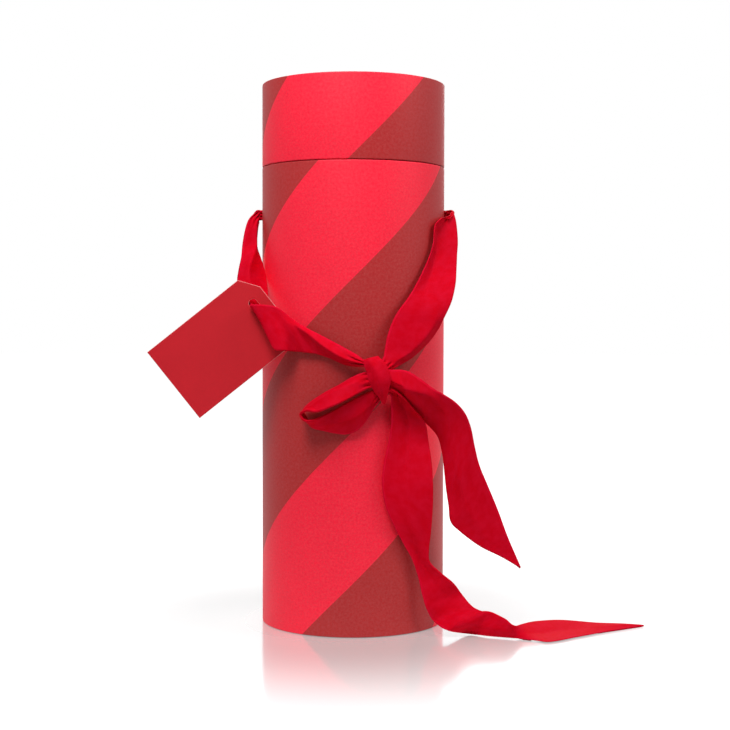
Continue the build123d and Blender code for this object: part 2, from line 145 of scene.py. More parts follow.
# The ribbon's stretches, each a row of stations along it: the two edges of the cloth, each
# as an angle round the box in degrees, a distance out from its wall as a share of the
# ribbon's width and a height as a share of the holes' height, then the depth of the fold as
# a share of the width, where its ridge lies from one edge to the other, and how far the cloth
# is gathered there, from 1 for not at all to 3.
INNER_RUN_HALF_SHARES = [
    (-90, 0.05, 1.012, -90, 0.05, 0.988, 0.0, 0.5, 3),
    (-90, -0.08, 1.012, -90, -0.08, 0.988, 0.0, 0.5, 3),
    (-91, -0.18, 1.013, -91, -0.18, 0.987, 0.0, 0.5, 2.5),
    (-94, -0.215, 1.015, -94, -0.215, 0.985, 0.0, 0.5, 2),
    (-100, -0.225, 1.022, -100, -0.225, 0.978, 0.0, 0.5, 1.5),
    (-112, -0.225, 1.036, -112, -0.225, 0.964, 0.0, 0.5, 1),
    (-128, -0.225, 1.052, -128, -0.225, 0.948, 0.0, 0.5, 1),
    (-146, -0.225, 1.058, -146, -0.225, 0.942, 0.0, 0.5, 1),
    (-163, -0.225, 1.058, -163, -0.225, 0.942, 0.0, 0.5, 1),
    (-180, -0.225, 1.058, -180, -0.225, 0.942, 0.0, 0.5, 1),
]
LEFT_STRAND_SHARES = [
    (-90, 0.05, 1.012, -90, 0.05, 0.988, 0, 0.5, 3),
    (-90, 0.07, 1.012, -90, 0.07, 0.988, 0, 0.5, 3),
    (-90, 0.09, 1.012, -90, 0.09, 0.986, 0, 0.5, 3),
    (-88.6, 0.151, 1.005, -88.5, 0.061, 0.982, 0.02, 0.6, 2),
    (-83.7, 0.28, 0.983, -85.5, 0.089, 0.966, 0.05, 0.75, 1.5),
    (-76.2, 0.408, 0.923, -82.2, 0.123, 0.925, 0.1, 0.8, 1.2),
    (-72.4, 0.487, 0.889, -76.7, 0.053, 0.89, 0.2, 0.42, 1),
    (-68.9, 0.572, 0.861, -72.6, 0.009, 0.863, 0.24, 0.26, 1),
    (-65.4, 0.649, 0.832, -66.1, 0.021, 0.833, 0.19, 0.3, 1),
    (-60.9, 0.67, 0.805, -57, 0.127, 0.796, 0.08, 0.4, 1),
    (-55.8, 0.655, 0.789, -50, 0.265, 0.763, 0.01, 0.5, 1),
    (-51.2, 0.664, 0.78, -45, 0.378, 0.728, 0, 0.5, 1),
    (-49.2, 0.767, 0.776, -41.7, 0.51, 0.7, 0, 0.5, 1),
    (-46.2, 0.775, 0.778, -38.6, 0.554, 0.674, 0, 0.5, 1),
    (-42.8, 0.642, 0.777, -34.9, 0.403, 0.671, -0.02, 0.5, 1),
    (-38.8, 0.456, 0.771, -32.5, 0.14, 0.668, -0.03, 0.4, 1),
    (-35, 0.183, 0.744, -26.1, 0.133, 0.666, -0.05, 0.2, 1),
    (-26.5, 0.15, 0.724, -19.6, 0.113, 0.662, -0.11, 0.12, 1),
    (-16.9, 0.15, 0.705, -12.5, 0.113, 0.653, -0.16, 0.34, 1),
    (-7.7, 0.183, 0.685, -5.1, 0.147, 0.64, -0.16, 0.45, 1.3),
    (-1.2, 0.233, 0.668, 0.4, 0.207, 0.635, -0.1, 0.5, 1.8),
    (5, 0.283, 0.651, 6, 0.283, 0.635, -0.03, 0.5, 3),
    (9.5, 0.317, 0.641, 10, 0.317, 0.631, 0, 0.5, 3),
]
RIGHT_STRAND_SHARES = [
    (90, 0.05, 0.988, 90, 0.05, 1.012, 0, 0.5, 3),
    (90, 0.07, 0.988, 90, 0.07, 1.012, 0, 0.5, 3),
    (90, 0.085, 0.987, 90, 0.09, 1.013, 0, 0.5, 2.6),
    (86.5, 0.09, 0.984, 88, 0.14, 1.013, 0, 0.5, 2),
    (69.1, 0.09, 0.99, 85.3, 0.189, 1.007, -0.04, 0.45, 1.5),
    (58.7, 0.09, 0.976, 82.2, 0.245, 0.988, -0.1, 0.4, 1.1),
    (55.5, 0.093, 0.959, 79.1, 0.283, 0.966, -0.12, 0.3, 1),
    (54.3, 0.1, 0.928, 74.8, 0.329, 0.931, -0.09, 0.25, 1),
    (50.4, 0.107, 0.896, 70.4, 0.354, 0.897, -0.08, 0.25, 1),
    (44, 0.12, 0.858, 65, 0.412, 0.862, -0.07, 0.3, 1),
    (36.5, 0.133, 0.815, 59, 0.496, 0.825, -0.04, 0.3, 1),
    (31.3, 0.15, 0.789, 54.1, 0.525, 0.785, 0, 0.6, 1),
    (26, 0.167, 0.764, 50.4, 0.466, 0.749, 0.06, 0.8, 1),
    (21.9, 0.183, 0.736, 48.7, 0.366, 0.721, 0.13, 0.8, 1),
    (19, 0.207, 0.705, 44.3, 0.287, 0.692, 0.15, 0.76, 1),
    (17.4, 0.233, 0.675, 35.8, 0.201, 0.658, 0.12, 0.7, 1.1),
    (16.3, 0.267, 0.654, 26.3, 0.233, 0.638, 0.05, 0.6, 1.4),
    (14.8, 0.3, 0.641, 19.2, 0.287, 0.624, 0, 0.5, 3),
]
LOOP_SHARES = [
    (11.5, 0.317, 0.625, 12.5, 0.333, 0.592, 0, 0.5, 3),
    (6.3, 0.267, 0.621, 7.3, 0.367, 0.584, 0.05, 0.5, 2),
    (0.4, 0.233, 0.611, 2.3, 0.45, 0.574, 0.08, 0.5, 1.3),
    (-7, 0.2, 0.592, -3.2, 0.533, 0.56, 0.1, 0.5, 1),
    (-14.8, 0.183, 0.574, -9.3, 0.583, 0.546, 0.08, 0.5, 1),
    (-23.1, 0.167, 0.552, -15.8, 0.567, 0.534, 0.04, 0.5, 1),
    (-28.9, 0.1, 0.534, -21.4, 0.527, 0.536, 0.01, 0.5, 1),
    (-30.3, 0.06, 0.521, -25.5, 0.483, 0.525, 0, 0.5, 1),
    (-28.2, 0.053, 0.506, -23.7, 0.46, 0.509, 0, 0.5, 1),
    (-24, 0.06, 0.49, -18.9, 0.44, 0.509, 0.02, 0.5, 1),
    (-16.7, 0.073, 0.484, -12.9, 0.44, 0.522, 0.05, 0.5, 1),
    (-9.7, 0.1, 0.479, -7.2, 0.42, 0.537, 0.07, 0.5, 1),
    (-2.9, 0.107, 0.477, -1.7, 0.38, 0.552, 0.07, 0.5, 1),
    (3.2, 0.127, 0.487, 3.4, 0.333, 0.565, 0.06, 0.5, 1),
    (7.9, 0.153, 0.51, 8.1, 0.3, 0.574, 0.04, 0.5, 1),
    (11.7, 0.183, 0.537, 11.5, 0.283, 0.58, 0.02, 0.5, 1.6),
    (15.3, 0.233, 0.562, 14.1, 0.317, 0.59, 0, 0.5, 3),
]
SHORT_TAIL_SHARES = [
    (14.6, 0.317, 0.627, 16.2, 0.317, 0.595, 0, 0.5, 2),
    (19.9, 0.317, 0.627, 22.6, 0.233, 0.58, -0.14, 0.58, 1.2),
    (24.5, 0.333, 0.627, 28.5, 0.177, 0.558, -0.21, 0.46, 1),
    (28, 0.451, 0.623, 35.1, 0.142, 0.532, -0.25, 0.31, 1),
    (32.9, 0.548, 0.606, 42.7, 0.162, 0.506, -0.2, 0.18, 1),
    (37.8, 0.634, 0.586, 48.1, 0.238, 0.483, -0.11, 0.12, 1),
    (42.2, 0.732, 0.571, 50.4, 0.312, 0.465, -0.06, 0.25, 1),
    (47.7, 0.841, 0.55, 51.1, 0.371, 0.441, -0.07, 0.45, 1),
    (51.8, 0.918, 0.524, 51.4, 0.412, 0.413, -0.09, 0.58, 1),
    (54.7, 0.961, 0.489, 51.2, 0.455, 0.38, -0.1, 0.62, 1),
    (56.7, 0.993, 0.442, 51.4, 0.493, 0.342, -0.1, 0.62, 1),
    (58.9, 1.036, 0.399, 52.2, 0.532, 0.302, -0.08, 0.6, 1),
    (61.5, 1.135, 0.355, 52.8, 0.565, 0.265, -0.05, 0.6, 1),
    (65.3, 1.276, 0.293, 56.3, 0.691, 0.24, -0.03, 0.6, 1),
    (68.4, 1.428, 0.226, 62.5, 0.982, 0.203, -0.01, 0.6, 1),
    (71.1, 1.561, 0.176, 67.6, 1.312, 0.177, 0, 0.5, 1),
    (72.2, 1.648, 0.147, 71.3, 1.599, 0.153, 0, 0.5, 1),
]
LONG_TAIL_SHARES = [
    (15.6, 0.333, 0.584, 19.2, 0.367, 0.578, 0, 0.5, 2.5),
    (20.1, 0.3, 0.566, 26.8, 0.367, 0.559, -0.15, 0.5, 1.4),
    (20.7, 0.25, 0.54, 33.8, 0.367, 0.527, -0.2, 0.52, 1.1),
    (21.6, 0.2, 0.51, 40.7, 0.333, 0.497, -0.16, 0.56, 1),
    (20.8, 0.143, 0.465, 42.8, 0.324, 0.458, -0.08, 0.5, 1),
    (18, 0.133, 0.412, 42.4, 0.423, 0.412, -0.05, 0.5, 1),
    (16.8, 0.133, 0.365, 41.8, 0.491, 0.356, -0.02, 0.5, 1),
    (18.6, 0.133, 0.313, 42, 0.476, 0.299, 0.01, 0.5, 1),
    (23.1, 0.133, 0.268, 42.3, 0.419, 0.244, 0.02, 0.45, 1),
    (29.9, 0.143, 0.217, 42.2, 0.371, 0.201, -0.05, 0.45, 1),
    (35.7, 0.16, 0.177, 42.9, 0.372, 0.171, -0.09, 0.45, 1),
    (39.4, 0.183, 0.133, 47, 0.512, 0.145, -0.08, 0.45, 1),
    (41.2, 0.217, 0.095, 51.2, 0.667, 0.121, -0.05, 0.5, 1),
    (43.8, 0.25, 0.058, 55.3, 0.745, 0.093, -0.02, 0.5, 1),
    (47.9, 0.3, 0.027, 55, 0.957, 0.07, 0.03, 0.5, 1),
    (45.1, 0.715, 0.016, 55.2, 1.206, 0.059, 0.05, 0.5, 1),
    (55.9, 0.868, 0, 56.3, 1.414, 0.055, 0.05, 0.5, 1),
    (56.7, 1.32, 0, 55.5, 1.701, 0.046, 0.04, 0.5, 1),
    (58.4, 1.762, 0, 56.4, 1.843, 0.032, 0.02, 0.5, 1),
    (59, 2.242, 0, 64.5, 1.806, 0.025, -0.02, 0.5, 1),
    (59.5, 2.513, 0, 69.7, 2.008, 0.026, -0.04, 0.5, 1),
    (67.2, 2.826, 0, 76, 2.424, 0.021, -0.03, 0.5, 1),
    (74.4, 3.238, 0, 79.4, 3.072, 0.011, 0.02, 0.5, 1),
    (79.6, 3.695, 0, 81.2, 3.58, 0.007, 0.02, 0.5, 1),
    (82.4, 4.02, 0, 82.4, 3.985, 0.002, 0, 0.5, 1),
]

# The knot from its top to its lower tip: angle, distance out and height of its middle, then
# half its width and half its depth, all as shares like those above
KNOT_SHARES = [
    (9.7, 0.31, 0.655, 0.15, 0.07),
    (10.4, 0.33, 0.644, 0.18, 0.13),
    (12.5, 0.347, 0.627, 0.21, 0.17),
    (13.9, 0.353, 0.606, 0.216, 0.18),
    (14.6, 0.34, 0.586, 0.162, 0.15),
    (15.7, 0.313, 0.567, 0.088, 0.1),
    (16.4, 0.287, 0.549, 0.026, 0.045),
]

# The knot's columns, its ridges and their depth, how far it is drawn in, and the length of
# ribbon to one of its rows
KNOT_COLUMNS = 48
KNOT_RIDGES = 5
KNOT_RIDGE_DEPTH = 0.06
KNOT_SHRINK = 0.04
KNOT_ROW_LENGTH = 0.001


# Materials


def add(tree, kind, *inputs, named=None, **settings):
    """A new node; its inputs, in order or by name, are sockets to link or plain values."""
    made = tree.nodes.new(kind)
    for key, value in settings.items():
        setattr(made, key, value)
    pairs = list(zip(made.inputs, inputs))
    pairs += [(made.inputs[key], value) for key, value in (named or {}).items()]
    for socket, value in pairs:
        if isinstance(value, bpy.types.NodeSocket):
            tree.links.new(value, socket)
        elif value is not None:
            socket.default_value = value
    return made.outputs[0]


def maths(tree, operation, *inputs):
    """A Math node."""
    return add(tree, "ShaderNodeMath", *inputs, operation=operation)


def spread(tree, value, low, high, start=0.0, end=1.0, **settings):
    """Turns start..end, which is 0..1 if not given, into low..high."""
    return add(tree, "ShaderNodeMapRange", value, start, end, low, high, **settings)


def noise_value(tree, where, scale, detail=3.0, roughness=0.6):
    """Noise from 0 to 1."""
    return add(tree, "ShaderNodeTexNoise", where, None, scale, detail, roughness)


def principled(name, **sockets):
    """A new material, with constants set on its shader's sockets."""
    made = bpy.data.materials.new(name)
    made.use_nodes = True
    shader = made.node_tree.nodes["Principled BSDF"]
    for key, value in sockets.items():
        shader.inputs[key.replace("_", " ")].default_value = value
    return made, made.node_tree, shader


def srgb(red, green, blue):
    """A colour as seen on screen, 0 to 255, as Blender's linear values."""
    shares = [c / 255 for c in (red, green, blue)]
    linear = [c / 12.92 if c <= 0.04045 else ((c + 0.055) / 1.055) ** 2.4 for c in shares]
    return (*linear, 1.0)


def tinted(tree, colour, amount, factor):
    """The colour, darker or lighter by up to that amount as factor goes from 0 to 1."""
    shade = spread(tree, factor, 1 - amount, 1 + amount)
    return add(tree, "ShaderNodeVectorMath", colour, named={"Scale": shade}, operation="SCALE")


def shaded(tree, colour, amounts, grain, cloud):
    """The colour in the fine shades of the grain and the wide ones of the cloud."""
    return tinted(tree, tinted(tree, colour, amounts[0], grain), amounts[1], cloud)


def bumped(tree, shader, height, strength, distance):
    """Gives the shader a bump from a height of 0 to 1."""
    named = {"Strength": strength, "Distance": distance, "Height": height}
    tree.links.new(add(tree, "ShaderNodeBump", named=named), shader.inputs["Normal"])


WHITE = (1, 1, 1, 1)
BRIGHT_RED = srgb(250, 14, 52)
DARK_RED = srgb(172, 26, 28)
RIBBON_RED = srgb(204, 0, 26)
# A painted highlight: the lighter red along the ribbon's raised selvedges
SELVEDGE_HIGHLIGHT_RED = srgb(214, 4, 40)
# A painted sheen: the pink that is mixed into the ribbon's red in patches
PAINTED_SHEEN_RED = srgb(226, 34, 76)
CARD_RED = srgb(200, 28, 40)
CARD_PULP = srgb(236, 150, 150)
NECK_MAROON = srgb(112, 20, 24)
LINING_CREAM = srgb(236, 228, 214)
BOARD_DARK = srgb(118, 106, 92)
BOARD_PALE = srgb(192, 180, 160)

# Noises, each with its scale, its detail and, where it isn't 0.6, its roughness. Those of the
# printed paper and the ribbon are to a texture map's unit, the others to a metre.
PRINT_RAGGED = (420.0, 2.0)
PRINT_GRAIN = (95.0, 4.0, 0.7)
PRINT_CLOUD = (6.0, 3.0)
PRINT_FLECK = (62.0, 3.0, 0.75)
PRINT_FIBRE = (260.0, 5.0, 0.65)
PAPER_GRAIN = (950.0, 4.0, 0.7)
PAPER_CLOUD = (60.0, 3.0)
PAPER_FIBRE = (2600.0, 5.0, 0.65)
BOARD_FLECK = (700.0, 6.0, 0.8)
RIBBON_SLUB = (160.0, 4.0, 0.7)
RIBBON_CLOUD = (9.0, 3.0)
RIBBON_SHEEN_PATCHES = (17.0, 3.0, 0.6)

# How far those noises go: the ragged edge of a stripe as shares of a period, the shares of bare
# paper and of the ribbon's painted pink sheen that show, the shades of a colour, and low and
# high roughness
STRIPE_RAGGED = (-0.0008, 0.0008)
BARE_SHARES = (-0.025, 0.045)
PRINT_SHADES = (0.24, 0.06)
PRINT_ROUGHNESS = (0.46, 0.62)
PAPER_SHADES = (0.10, 0.07)
PAPER_ROUGHNESS_SPREAD = 0.08
PAINTED_SHEEN_SHARES = (-0.20, 0.36)
RIBBON_SHADES = (0.10, 0.05)
RIBBON_ROUGHNESS = (0.62, 0.78)

# Bumps: strength, and depth in metres
PRINT_BUMP = (0.4, 0.00008)
PAPER_BUMP = (0.3, 0.00006)
BOARD_BUMP = (0.5, 0.00015)
RIBBON_BUMP = (0.35, 0.00005)

# The ribbon's threads and their low and high bump, then where its selvedge, with its painted
# highlight, starts and is full, from the middle as shares of its width, and how far it rises
# above the threads
THREAD_PITCH = 0.00030
WEAVE_BUMP = (0.5, 1.0)
SELVEDGE_FROM, SELVEDGE_FULL = 0.46, 0.47
SELVEDGE_RISE = 0.5


def print_material(name, stripe_edge):
    """Matte printed paper, with the two reds in wide stripes that climb round the box."""
    made, tree, shader = principled(name, Specular_IOR_Level=0.32)
    where = add(tree, "ShaderNodeUVMap", uv_map="paper")
    axes = tree.nodes.new("ShaderNodeSeparateXYZ")
    tree.links.new(where, axes.inputs[0])
    ragged = noise_value(tree, where, *PRINT_RAGGED)
    climb = maths(tree, "SUBTRACT", axes.outputs[1], axes.outputs[0])
    climb = maths(tree, "SUBTRACT", climb, stripe_edge / UV_UNIT)
    phase = maths(tree, "DIVIDE", climb, STRIPE_PERIOD / UV_UNIT)
    phase = maths(tree, "ADD", phase, spread(tree, ragged, *STRIPE_RAGGED))
    is_dark = maths(tree, "GREATER_THAN", maths(tree, "FRACT", phase), 0.5)
    ink = add(tree, "ShaderNodeMixRGB", is_dark, BRIGHT_RED, DARK_RED)
    grain = noise_value(tree, where, *PRINT_GRAIN)
    cloud = noise_value(tree, where, *PRINT_CLOUD)
    fleck = spread(tree, noise_value(tree, where, *PRINT_FLECK), *BARE_SHARES)
    ink = add(tree, "ShaderNodeMixRGB", fleck, ink, WHITE)
    ink = shaded(tree, ink, PRINT_SHADES, grain, cloud)
    tree.links.new(ink, shader.inputs["Base Color"])
    tree.links.new(spread(tree, grain, *PRINT_ROUGHNESS), shader.inputs["Roughness"])
    bumped(tree, shader, noise_value(tree, where, *PRINT_FIBRE), *PRINT_BUMP)
    return made


def paper_material(name, colour, roughness=0.6):
    """Plain coloured paper or card, with fine fibres."""
    made, tree, shader = principled(name, Specular_IOR_Level=0.2)
    where = tree.nodes.new("ShaderNodeTexCoord").outputs["Object"]
    grain = noise_value(tree, where, *PAPER_GRAIN)
    cloud = noise_value(tree, where, *PAPER_CLOUD)
    tint = add(tree, "ShaderNodeRGB")
    tint.default_value = colour
    paper = shaded(tree, tint, PAPER_SHADES, grain, cloud)
    tree.links.new(paper, shader.inputs["Base Color"])
    smooth, rough = roughness - PAPER_ROUGHNESS_SPREAD, roughness + PAPER_ROUGHNESS_SPREAD
    tree.links.new(spread(tree, grain, smooth, rough), shader.inputs["Roughness"])
    bumped(tree, shader, noise_value(tree, where, *PAPER_FIBRE), *PAPER_BUMP)
    return made


def board_material():
    """Grey board: recycled pulp with pale and dark flecks."""
    made, tree, shader = principled("greyboard", Specular_IOR_Level=0.25, Roughness=0.85)
    where = tree.nodes.new("ShaderNodeTexCoord").outputs["Object"]
    fleck = noise_value(tree, where, *BOARD_FLECK)
    mix = add(tree, "ShaderNodeMixRGB", fleck, BOARD_DARK, BOARD_PALE)
    tree.links.new(mix, shader.inputs["Base Color"])
    bumped(tree, shader, fleck, *BOARD_BUMP)
    return made


def ribbon_material():
    """Ribbon: fine threads both ways, a painted sheen in patches, and raised selvedges with a
    painted highlight.
    """
    made, tree, shader = principled("ribbon_satin", Specular_IOR_Level=0.03)
    where = add(tree, "ShaderNodeUVMap", uv_map="cloth")
    axes = tree.nodes.new("ShaderNodeSeparateXYZ")
    tree.links.new(where, axes.inputs[0])
    across, along = axes.outputs[0], axes.outputs[1]
    threads_per_unit = UV_UNIT / THREAD_PITCH
    warp = maths(tree, "SINE", maths(tree, "MULTIPLY", across, 2 * math.pi * threads_per_unit))
    weft = maths(tree, "SINE", maths(tree, "MULTIPLY", along, 2 * math.pi * threads_per_unit))
    weave = spread(tree, maths(tree, "MULTIPLY", warp, weft), *WEAVE_BUMP)
    slub = noise_value(tree, where, *RIBBON_SLUB)
    cloud = noise_value(tree, where, *RIBBON_CLOUD)
    from_middle = maths(
        tree, "ABSOLUTE", maths(tree, "SUBTRACT", across, RIBBON_WIDTH / UV_UNIT / 2)
    )
    start, end = (share * RIBBON_WIDTH / UV_UNIT for share in (SELVEDGE_FROM, SELVEDGE_FULL))
    edge = spread(tree, from_middle, 0.0, 1.0, start, end)
    # Painted highlight: the lighter red along both selvedges, which the bump also raises
    dye = add(tree, "ShaderNodeMixRGB", edge, RIBBON_RED, SELVEDGE_HIGHLIGHT_RED)
    # Painted sheen: a pink tone mixed in over patches of the cloth
    sheen_patches = spread(tree, noise_value(tree, where, *RIBBON_SHEEN_PATCHES), *PAINTED_SHEEN_SHARES)
    dye = add(tree, "ShaderNodeMixRGB", sheen_patches, dye, PAINTED_SHEEN_RED)
    dye = shaded(tree, dye, RIBBON_SHADES, slub, cloud)
    tree.links.new(dye, shader.inputs["Base Color"])
    tree.links.new(spread(tree, slub, *RIBBON_ROUGHNESS), shader.inputs["Roughness"])
    height = maths(tree, "ADD", weave, maths(tree, "MULTIPLY", edge, SELVEDGE_RISE))
    bumped(tree, shader, height, *RIBBON_BUMP)
    return made


BODY_PRINT = print_material("body_paper", BODY_STRIPE_EDGE)
LID_PRINT = print_material("lid_paper", LID_STRIPE_EDGE)
RED_PAPER = paper_material("red_cover_paper", BRIGHT_RED)
NECK_PAPER = paper_material("neck_paper_maroon", NECK_MAROON)
LINING = paper_material("lining_paper", LINING_CREAM, roughness=0.75)
BOARD = board_material()
RIBBON = ribbon_material()
CARD = paper_material("tag_card_red", CARD_RED, roughness=0.65)
CARD_CORE = paper_material("tag_card_core", CARD_PULP, roughness=0.7)

NODE_MATERIALS = {
    "body_tube": BOARD,
    "liner_tube": BOARD,
    "base_disc": BOARD,
    "lid_tube": BOARD,
    "lid_disc": BOARD,
    "neck_paper": NECK_PAPER,
    "base_cover": NECK_PAPER,
    "lid_cover": RED_PAPER,
    "floor_lining": LINING,
    "lid_ceiling": LINING,
    "lid_lining": LINING,
}


def dress_nodes():
    """Gives each CAD node that stays its own finish."""
    for name, finish in NODE_MATERIALS.items():
        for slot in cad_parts[name].material_slots:
            slot.material = finish


# Shapes


def new_object(name, mesh, *finishes):
    """An object of that mesh, linked into the scene, with its materials."""
    made = bpy.data.objects.new(name, mesh)
    bpy.context.scene.collection.objects.link(made)
    for finish in finishes:
        mesh.materials.append(finish)
    return made


def shape_object(name, shape, *finishes):
    """An object of that shape, which is used up."""
    mesh = bpy.data.meshes.new(name)
    shape.to_mesh(mesh)
    shape.free()
    return new_object(name, mesh, *finishes)


def rounded(profile):
    """A profile of (radius, height, rounding) with each corner turned into a small curve."""
    points = []
    for i, (radius, height, corner) in enumerate(profile):
        here = Vector((radius, height))
        if not corner:
            points.append(here)
            continue
        before = Vector(profile[i - 1][:2])
        after = Vector(profile[(i + 1) % len(profile)][:2])
        start = here + (before - here).normalized() * corner
        end = here + (after - here).normalized() * corner
        for step in range(CORNER_STEPS + 1):
            t = step / CORNER_STEPS
            points.append(start * (1 - t) ** 2 + here * (2 * t * (1 - t)) + end * t**2)
    return points


def wrapped_paper(name, profile, wall_start, finish):
    """Paper round the box, turned about its axis, with its overlap at the back.

    The map runs round the box in u and up it in v, and is true to scale on the outer wall."""
    points = rounded(profile)
    lengths = [0.0]
    for near, far in zip(points, points[1:]):
        lengths.append(lengths[-1] + (far - near).length)
    on_wall = min(range(len(points)), key=lambda i: (points[i] - Vector(wall_start)).length)
    shift = wall_start[1] - lengths[on_wall]
    shape = bmesh.new()
    layer = shape.loops.layers.uv.new("paper")
    rings = []
    for column in range(ROUND_COLUMNS + 1):
        turn = -math.pi + 2 * math.pi * column / ROUND_COLUMNS
        sink = OVERLAP_STEP * max(0.0, 1 - (turn + math.pi) / OVERLAP_TURN)
        ring = []
        for point in points:
            radius = point.x - (sink if point.x > BOX_RADIUS - WRAP_THICKNESS / 2 else 0)
            ring.append(
                shape.verts.new((radius * math.sin(turn), -radius * math.cos(turn), point.y))
            )
        rings.append(ring)
    count = len(points)
    # The last column has no width: it joins the paper's two ends where they overlap.
    for column in range(ROUND_COLUMNS + 1):
        near, far = rings[column], rings[(column + 1) % (ROUND_COLUMNS + 1)]
        u_near = (-math.pi + 2 * math.pi * column / ROUND_COLUMNS) * BOX_RADIUS
        u_far = u_near + (2 * math.pi / ROUND_COLUMNS) * BOX_RADIUS
        if column == ROUND_COLUMNS:
            u_far = u_near
        for i in range(count):
            j = (i + 1) % count
            v_i = lengths[i] + shift
            v_j = (lengths[j] if j else lengths[i]) + shift
            corners = [(near[i], u_near, v_i), (far[i], u_far, v_i)]
            corners += [(far[j], u_far, v_j), (near[j], u_near, v_j)]
            if column == ROUND_COLUMNS and (near[i].co - far[i].co).length < SAME_PLACE:
                if (near[j].co - far[j].co).length < SAME_PLACE:
                    continue
            face = shape.faces.new([corner[0] for corner in corners])
            for loop, (_, u, v) in zip(face.loops, corners):
                loop[layer].uv = (u / UV_UNIT, v / UV_UNIT)
            face.smooth = True
    bmesh.ops.remove_doubles(shape, verts=shape.verts, dist=SAME_PLACE)
    bmesh.ops.recalc_face_normals(shape, faces=shape.faces)
    return shape_object(name, shape, finish)


def cut_holes(piece):
    """Punches the two ribbon holes through a piece."""
    shape = bmesh.new()
    bmesh.ops.create_cone(
        shape,
        cap_ends=True,
        segments=HOLE_SIDES,
        radius1=HOLE_RADIUS,
        radius2=HOLE_RADIUS,
        depth=3 * BOX_RADIUS,
        matrix=Matrix.Translation((0, 0, HOLE_HEIGHT)) @ Matrix.Rotation(math.pi / 2, 4, "Y"),
    )
    bar = shape_object("hole_bar", shape)
    punch = piece.modifiers.new("holes", "BOOLEAN")
    punch.object = bar
    punch.solver = "EXACT"
    bake_modifiers(piece)
    bpy.data.objects.remove(bar)


def bake_modifiers(piece):
    """Applies the piece's modifiers to its mesh."""
    depsgraph = bpy.context.evaluated_depsgraph_get()
    depsgraph.update()
    baked = bpy.data.meshes.new_from_object(piece.evaluated_get(depsgraph))
    piece.modifiers.clear()
    piece.data = baked


def sharpen(piece, degrees=35):
    """Smooth shading, with edges sharp where the faces turn by more than that."""
    shape = bmesh.new()
    shape.from_mesh(piece.data)
    for face in shape.faces:
        face.smooth = True
    for edge in shape.edges:
        turn = edge.calc_face_angle(0.0)
        edge.smooth = turn < math.radians(degrees)
    shape.to_mesh(piece.data)
    shape.free()


def place(angle, stand_off_share, height_share):
    """A point near the box: its angle, its distance out from the wall and its height."""
    radius = BOX_RADIUS + stand_off_share * RIBBON_WIDTH
    height = RIBBON_LIFT + height_share * (HOLE_HEIGHT - RIBBON_LIFT)
    turn = math.radians(angle)
    return Vector((radius * math.sin(turn), -radius * math.cos(turn), height))


def smoothed(stations):
    """The stations with more between them, on the smooth curve through them all."""
    rows = [stations[0], *stations, stations[-1]]
    result = []
    for a, b, c, d in zip(rows, rows[1:], rows[2:], rows[3:]):
        for step in range(CUTS_PER_STATION):
            t = step / CUTS_PER_STATION
            pull = ((1 - t) ** 2 * t / 2, t**2 * (1 - t) / 2)
            rise = t**2 * (3 - 2 * t)
            result.append(
                tuple(
                    q + (r - q) * rise + (r - p) * pull[0] - (s - q) * pull[1]
                    for p, q, r, s in zip(a, b, c, d)
                )
            )
    return [*result, stations[-1]]


def directions(points):
    """The direction of travel at each point of a row."""
    last = len(points) - 1
    return [
        (points[min(i + 1, last)] - points[max(i - 1, 0)]).normalized()
        for i in range(last + 1)
    ]


def crown(share, ridge):
    """A fold across the ribbon: 0 at its edges and 1 at its ridge, which is a little soft."""
    rising, falling = share / ridge, (1 - share) / (1 - ridge)
    low = (rising + falling - math.sqrt((rising - falling) ** 2 + FOLD_SOFTNESS)) / 2
    return low / (1 - math.sqrt(FOLD_SOFTNESS) / 2)


def cloth_line(edge_a, edge_b, face, row, tuck, seed):
    """The cloth's points across one station: a front layer from edge to edge, and behind it
    the width to spare, turned under at the second edge. Tuck is 1 or -1 for the side of the
    face that it goes to, or 0 for a cloth that lies open."""
    across = edge_b - edge_a
    chord = across.length
    spare = math.sqrt(max(RIBBON_WIDTH**2 - chord**2, 0.0)) / (2 * PLEATS)
    gather = min(max((row[8] - GATHER_FROM) / GATHER_SPAN, 0.0), 1.0)
    pleat = min(spare * gather, PLEAT_DEPTH)
    pleated = math.hypot(chord, 2 * PLEATS * pleat)

    def layer_point(share, lift):
        wave = math.cos(2 * math.pi * PLEATS * share)
        rise = row[6] * RIBBON_WIDTH * crown(share, row[7]) + pleat * wave / 2
        point = edge_a + across * share + face * (rise + lift)
        drift = noise.noise(point * DRIFT_SCALE + Vector((seed, 0, 0)))
        return point + face * (drift * DRIFT_DEPTH * math.sin(math.pi * share))

    turn = min(TURN_RADIUS, chord * TURN_SHARE) if tuck else 0.0
    last = 1 - turn / chord
    line = [layer_point(last * i / FRONT_COLUMNS, 0.0) for i in range(FRONT_COLUMNS + 1)]
    if not tuck:
        return line
    start, out = line[-1], across.normalized()
    for i in range(1, TURN_COLUMNS + 1):
        angle = math.pi * i / TURN_COLUMNS
        line.append(
            start + face * (tuck * turn * (1 - math.cos(angle))) + out * (turn * math.sin(angle))
        )
    under = min(max(RIBBON_WIDTH - pleated, LEAST_UNDER), MOST_UNDER * chord) / chord
    for i in range(1, BACK_COLUMNS + 1):
        share = last - under * i / BACK_COLUMNS
        line.append(layer_point(share, tuck * turn * (2 + UNDER_OPENING * i / BACK_COLUMNS)))
    return line


